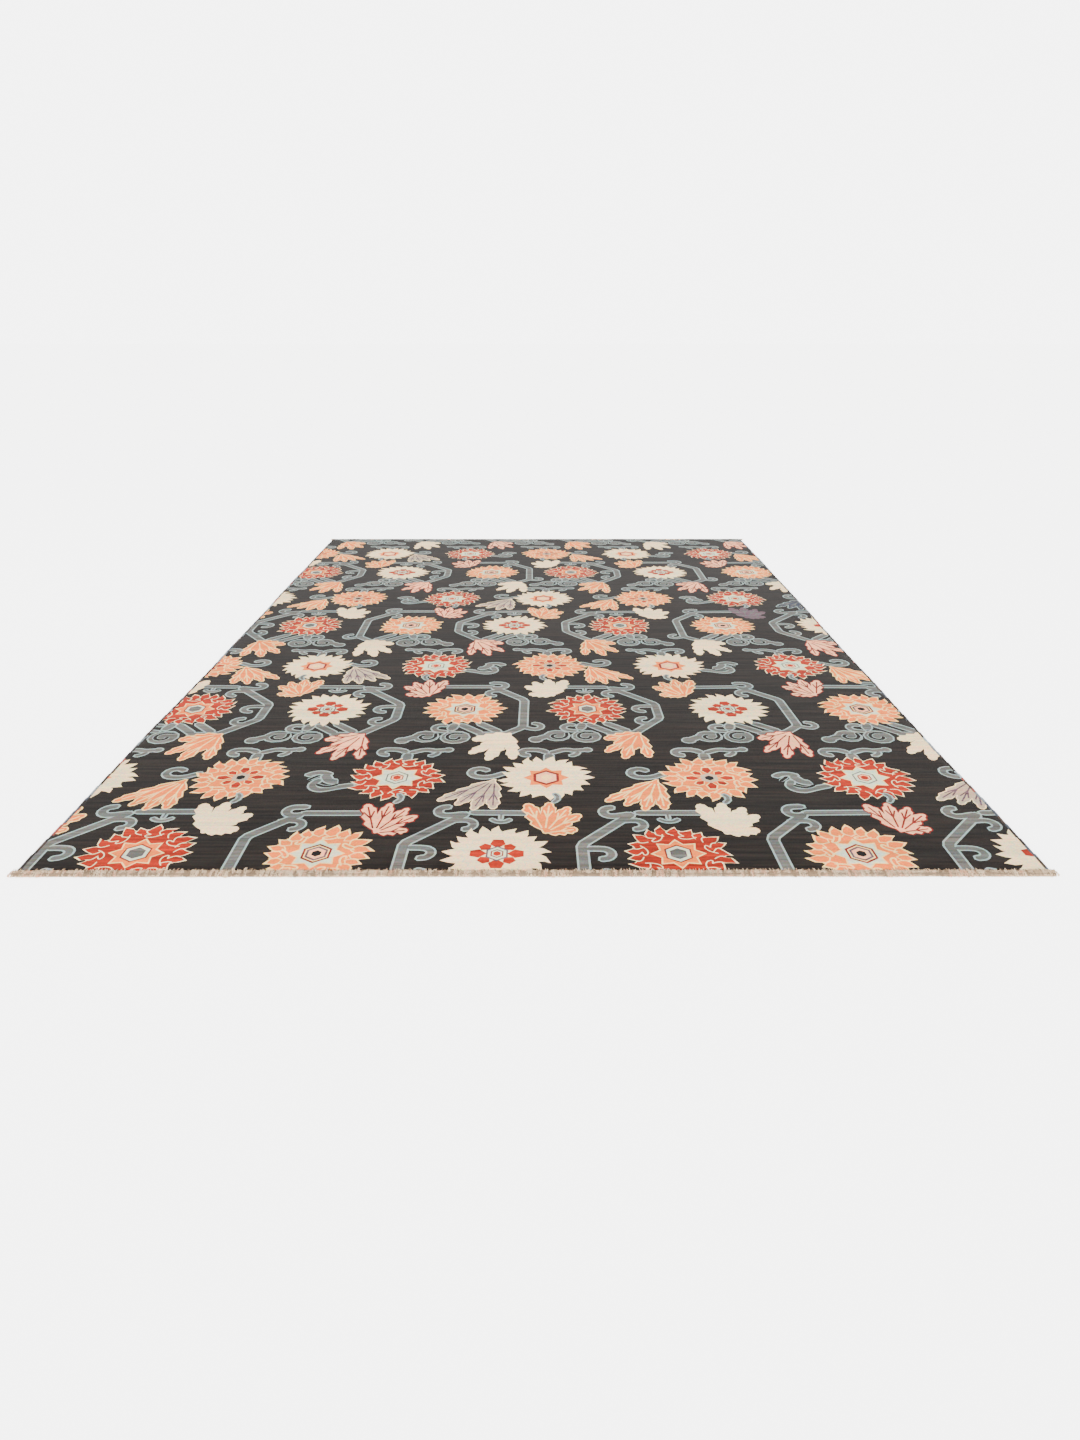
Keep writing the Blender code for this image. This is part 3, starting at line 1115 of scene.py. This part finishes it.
class RUG_OT_fringe(bpy.types.Operator):
    """Knot the warp ends at both ends of the rug and cut them short"""
    bl_idname = "rug.fringe"
    bl_label = "Fringes"

    def execute(self, context):
        sizes = context.scene.rug_sizes
        material = warp_wool()
        bundles = [self.bundle(random.Random(f"bundle {i}"), sizes) for i in range(BUNDLE_KINDS)]
        curls = [self.curl(random.Random(f"curl {i}"), sizes) for i in range(CURL_KINDS)]
        for name, turned, curled, tall in FRINGE_ENDS:
            fringe = self.line_up(name, turned, curled, tall, bundles, curls, sizes, material)
            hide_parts("fringe_" + name)
        for mesh in bundles + curls:
            bpy.data.meshes.remove(mesh)
        return {"FINISHED"}

    def bundle(self, draws, sizes):
        """One bundle of warp yarns: they arch from the cloth's edge to the floor, twisted together.
        Across is X, out of the cloth is -Y."""
        bm = bmesh.new()
        shade = bm.verts.layers.float.new("shade")
        tone = draws.choice(BUNDLE_TONES)
        for i in range(YARNS_IN_BUNDLE):
            spread = (i - (YARNS_IN_BUNDLE - 1) / 2) * 0.24 * sizes.bundle
            aside = draws.uniform(-2.2, 2.2) * MM
            reach = FRINGE_REACH * draws.uniform(0.80, 1.0)
            phase = draws.uniform(0, 2 * math.pi)
            way = []
            for step in range(YARN_STEPS + 1):
                out = reach * step / YARN_STEPS
                arch = math.sqrt(max(1 - (out / reach) ** 2, 0.0))
                turn = 2 * math.pi * out / PLY + phase
                way.append(Vector((
                    spread + aside * (out / reach) ** 2 + 1.0 * MM * math.sin(turn),
                    1.0 * MM - out,
                    sizes.strand / 2 + FRINGE_HEIGHT * arch * draws.uniform(0.86, 1.08)
                    + 0.7 * MM * arch * math.cos(turn),
                )))
            self.draw_yarn(bm, way, sizes.strand, shade, tone * draws.uniform(0.75, 1.25))
        return self.as_mesh(bm)

    def curl(self, draws, sizes):
        """One cut yarn end that curls back over the rim of the pile."""
        bm = bmesh.new()
        shade = bm.verts.layers.float.new("shade")
        lift = draws.uniform(0.2, 1.6)
        lean = draws.uniform(-3.0, 3.0)
        way = [
            Vector((lean * part, out + out_more * lift, up + up_more * lift)) * MM
            for part, out, up, out_more, up_more in STRAY_END
        ]
        self.draw_yarn(bm, way, 0.85 * sizes.strand, shade, draws.choice(STRAY_TONES))
        return self.as_mesh(bm)

    def as_mesh(self, bm):
        """Turns a small bmesh into a mesh that is copied along the fringe."""
        mesh = bpy.data.meshes.new("warp_yarns")
        bm.to_mesh(mesh)
        bm.free()
        return mesh

    def draw_yarn(self, bm, way, thickness, shade_layer, shade):
        """A four-sided yarn drawn out of its first end along a line of points."""
        heading = (way[1] - way[0]).normalized()
        facing = heading.to_track_quat("Z", "X").to_matrix().to_4x4()
        ring = bmesh.ops.create_circle(
            bm, segments=4, radius=thickness / 2, cap_ends=True,
            matrix=Matrix.Translation(way[0]) @ facing,
        )["verts"]
        yarn_vertices = list(ring)
        edges = list({edge for vertex in ring for edge in vertex.link_edges})
        for i, (here, there) in enumerate(zip(way, way[1:])):
            made = bmesh.ops.extrude_edge_only(bm, edges=edges)["geom"]
            ring = [item for item in made if isinstance(item, bmesh.types.BMVert)]
            edges = [
                item for item in made
                if isinstance(item, bmesh.types.BMEdge) and all(end in ring for end in item.verts)
            ]
            bmesh.ops.translate(bm, verts=ring, vec=there - here)
            after = (way[min(i + 2, len(way) - 1)] - here).normalized()
            turn = heading.rotation_difference(after).to_matrix()
            bmesh.ops.rotate(bm, verts=ring, cent=there, matrix=turn)
            heading = after
            yarn_vertices += ring
        bmesh.ops.contextual_create(bm, geom=edges)
        for vertex in yarn_vertices:
            vertex[shade_layer] = shade

    def line_up(self, name, turned, curled, tall, bundles, curls, sizes, material):
        """A whole fringe: the band of knots along the cloth's end, the bundles over it, the stray
        ends that curl up, and a few thick tufts of them."""
        draws = random.Random("fringe " + name)
        low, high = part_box("fringe_" + name)
        half_width = (high[0] - low[0]) / 2 - 9.0 * MM
        count = round(2 * half_width / sizes.bundle)
        bm = self.knot_band(half_width, sizes)
        tufts = {draws.randrange(20, count - 20) for _ in range(TUFTS)} if name == "near" else set()
        for i in range(count + 1):
            across = (i / count * 2 - 1) * half_width
            from_end = half_width - abs(across)
            fan = math.copysign(max(0.0, 1 - from_end / (12 * MM)) * 0.3, across)
            wave = noise.noise(Vector((across * 11.0, turned, 0.0)))
            reach = min(0.90 + 0.16 * wave + draws.uniform(-0.09, 0.07), 1.02)
            height = 0.98 + 0.12 * wave + draws.uniform(-0.10, 0.12)
            self.place(bm, draws, bundles, across, fan + draws.uniform(-0.22, 0.22), (reach, height))
            ends = 5 if i in tufts else int(draws.random() < curled)
            for _ in range(ends):
                swell = 1.25 if i in tufts else draws.uniform(0.9, 1.05)
                at = across + draws.uniform(-0.4, 0.4) * sizes.bundle
                self.place(bm, draws, curls, at, draws.uniform(-0.5, 0.5), (swell, swell))
        bmesh.ops.scale(bm, verts=bm.verts, vec=(1.0, 1.0, tall))
        bmesh.ops.rotate(bm, verts=bm.verts, cent=(0, 0, 0), matrix=Matrix.Rotation(turned, 3, "Z"))
        bmesh.ops.recalc_face_normals(bm, faces=bm.faces)
        return finished("warp_fringe_" + name, bm, material)

    def place(self, bm, draws, meshes, across, turn, swell):
        """Adds a copy of one of the meshes at the cloth's end; swell is (reach, height)."""
        copy = draws.choice(meshes).copy()
        copy.transform(
            Matrix.Translation((across, -FIELD_END, 0.0))
            @ Matrix.Rotation(turn, 4, "Z")
            @ Matrix.Diagonal((draws.choice((-1, 1)), *swell, 1.0))
        )
        bm.from_mesh(copy)
        bpy.data.meshes.remove(copy)

    def long_edges(self, bm, length):
        """The edges that run across the rug for more than a length."""
        return [edge for edge in bm.edges if abs(edge.verts[0].co.x - edge.verts[1].co.x) > length]

    def knot_band(self, half_width, sizes):
        """The low lumpy band under the bundles: a bar with a rounded top, cut into short stretches.
        Its near-black is painted shade.
        """
        bm = bmesh.new()
        shade = bm.verts.layers.float.new("shade")
        depth = 0.72 * FRINGE_REACH
        size = Matrix.Diagonal((2 * half_width, depth, FRINGE_HEIGHT, 1.0))
        middle = Matrix.Translation((0, -FIELD_END - depth / 2 + 0.5 * MM, FRINGE_HEIGHT / 2))
        bmesh.ops.create_cube(bm, size=1.0, matrix=middle @ size)
        crest = [
            edge for edge in self.long_edges(bm, depth)
            if edge.verts[0].co.z > 0.5 * FRINGE_HEIGHT and edge.verts[0].co.y < -FIELD_END
        ]
        bmesh.ops.bevel(
            bm, geom=crest, offset=0.85 * FRINGE_HEIGHT, offset_type="OFFSET", segments=3,
            profile=0.5, affect="EDGES", material=-1,
        )
        cuts = round(2 * half_width / sizes.bundle)
        bmesh.ops.subdivide_edges(bm, edges=self.long_edges(bm, depth), cuts=cuts)
        for vertex in bm.verts:
            # Painted shade: the band is dyed nearly black so that the gaps between and under the
            # bundles look dark
            vertex[shade] = BAND_PAINTED_SHADE
            if vertex.co.z > 0.2 * FRINGE_HEIGHT:
                lump = noise.noise(vertex.co * (1 / (0.8 * sizes.bundle)))
                vertex.co.z += lump * 0.6 * MM
                vertex.co.y += lump * 0.8 * MM
        return bm


# Studio

FLOOR_HALF = 60.0
BRIGHT_BELOW, SOFT_ABOVE = 0.34, 0.60
SOFT_BOX_SIZE = (5.0, 4.0)
SOFT_BOX_PLACE = (-1.2, -0.5, 4.2)
SOFT_BOX_TILT = (math.radians(-8), math.radians(-14), 0.0)
SENSOR = 36.0
WHITE = (1.0, 1.0, 1.0, 1.0)


class RUG_OT_studio(bpy.types.Operator):
    """Set up the pale floor, the soft light and the camera"""
    bl_idname = "rug.studio"
    bl_label = "Studio"

    def execute(self, context):
        studio = context.scene.rug_studio
        self.lay_floor(studio)
        self.light(studio)
        self.place_camera(studio)
        return {"FINISHED"}

    def lay_floor(self, studio):
        """A seamless pale floor that runs out past the view."""
        material, tree, shader = new_material("matt_white_studio_floor")
        shader.inputs["Base Color"].default_value = (*studio.floor, 1.0)
        shader.inputs["Roughness"].default_value = 1.0
        shader.inputs["Specular IOR Level"].default_value = 0.0
        shader.inputs["Emission Color"].default_value = WHITE
        shader.inputs["Emission Strength"].default_value = studio.table
        bm = bmesh.new()
        bmesh.ops.create_grid(bm, x_segments=1, y_segments=1, size=FLOOR_HALF)
        mesh = bpy.data.meshes.new("studio_floor")
        bm.to_mesh(mesh)
        bm.free()
        mesh.materials.append(material)
        floor = bpy.data.objects.new("studio_floor", mesh)
        bpy.context.scene.collection.objects.link(floor)

    def light(self, studio):
        """A white room, bright round the horizon and softer overhead, and one large soft box."""
        world = bpy.data.worlds.new("studio_room")
        world.use_nodes = True
        tree = world.node_tree
        direction = add(tree, "ShaderNodeTexCoord").outputs["Generated"]
        height = add(tree, "ShaderNodeSeparateXYZ", {0: direction}).outputs["Z"]
        strength = add(tree, "ShaderNodeMapRange", {
            "Value": height, "From Min": BRIGHT_BELOW, "From Max": SOFT_ABOVE,
            "To Min": studio.backdrop, "To Max": studio.ceiling,
        }).outputs[0]
        room = tree.nodes["Background"]
        room.inputs["Color"].default_value = WHITE
        tree.links.new(strength, room.inputs["Strength"])
        bpy.context.scene.world = world
        lamp = bpy.data.lights.new("soft_box", "AREA")
        lamp.shape = "RECTANGLE"
        lamp.size, lamp.size_y = SOFT_BOX_SIZE
        lamp.energy = studio.lamp
        lamp.color = (1.0, 0.99, 0.97)
        box = bpy.data.objects.new("soft_box", lamp)
        box.location = SOFT_BOX_PLACE
        box.rotation_euler = SOFT_BOX_TILT
        bpy.context.scene.collection.objects.link(box)

    def place_camera(self, studio):
        """The camera stands low behind the near end and looks along the rug."""
        data = bpy.data.cameras.new("camera")
        data.lens = studio.lens
        data.sensor_width = SENSOR
        camera = bpy.data.objects.new("camera", data)
        camera.location = (studio.aside, -studio.distance, studio.height)
        camera.rotation_euler = (math.pi / 2 - studio.pitch, 0.0, studio.yaw)
        bpy.context.scene.collection.objects.link(camera)
        bpy.context.scene.camera = camera


class VIEW3D_PT_kazak_rug(bpy.types.Panel):
    """The rug's yarns, sizes and building steps"""
    bl_label = "Kazak rug"
    bl_space_type = "VIEW_3D"
    bl_region_type = "UI"
    bl_category = "Kazak rug"

    def draw(self, context):
        for group in (context.scene.rug_yarns, context.scene.rug_sizes, context.scene.rug_studio):
            box = self.layout.box()
            for name in group.bl_rna.properties.keys():
                if name not in ("rna_type", "name"):
                    box.prop(group, name)
        for operator in OPERATORS:
            self.layout.operator(operator.bl_idname)


OPERATORS = (RUG_OT_weave, RUG_OT_overcast, RUG_OT_fringe, RUG_OT_studio)
CLASSES = (RugYarns, RugSizes, StudioSettings, *OPERATORS, VIEW3D_PT_kazak_rug)


def register():
    """Adds the settings, the operators and the panel to Blender."""
    for group in CLASSES:
        bpy.utils.register_class(group)
    bpy.types.Scene.rug_yarns = PointerProperty(type=RugYarns)
    bpy.types.Scene.rug_sizes = PointerProperty(type=RugSizes)
    bpy.types.Scene.rug_studio = PointerProperty(type=StudioSettings)


def unregister():
    """Takes them out again."""
    del bpy.types.Scene.rug_studio
    del bpy.types.Scene.rug_sizes
    del bpy.types.Scene.rug_yarns
    for group in reversed(CLASSES):
        bpy.utils.unregister_class(group)


def main():
    """Builds the rug and its studio."""
    register()
    bpy.ops.rug.weave()
    bpy.ops.rug.overcast()
    bpy.ops.rug.fringe()
    bpy.ops.rug.studio()


if __name__ == "__main__":
    main()
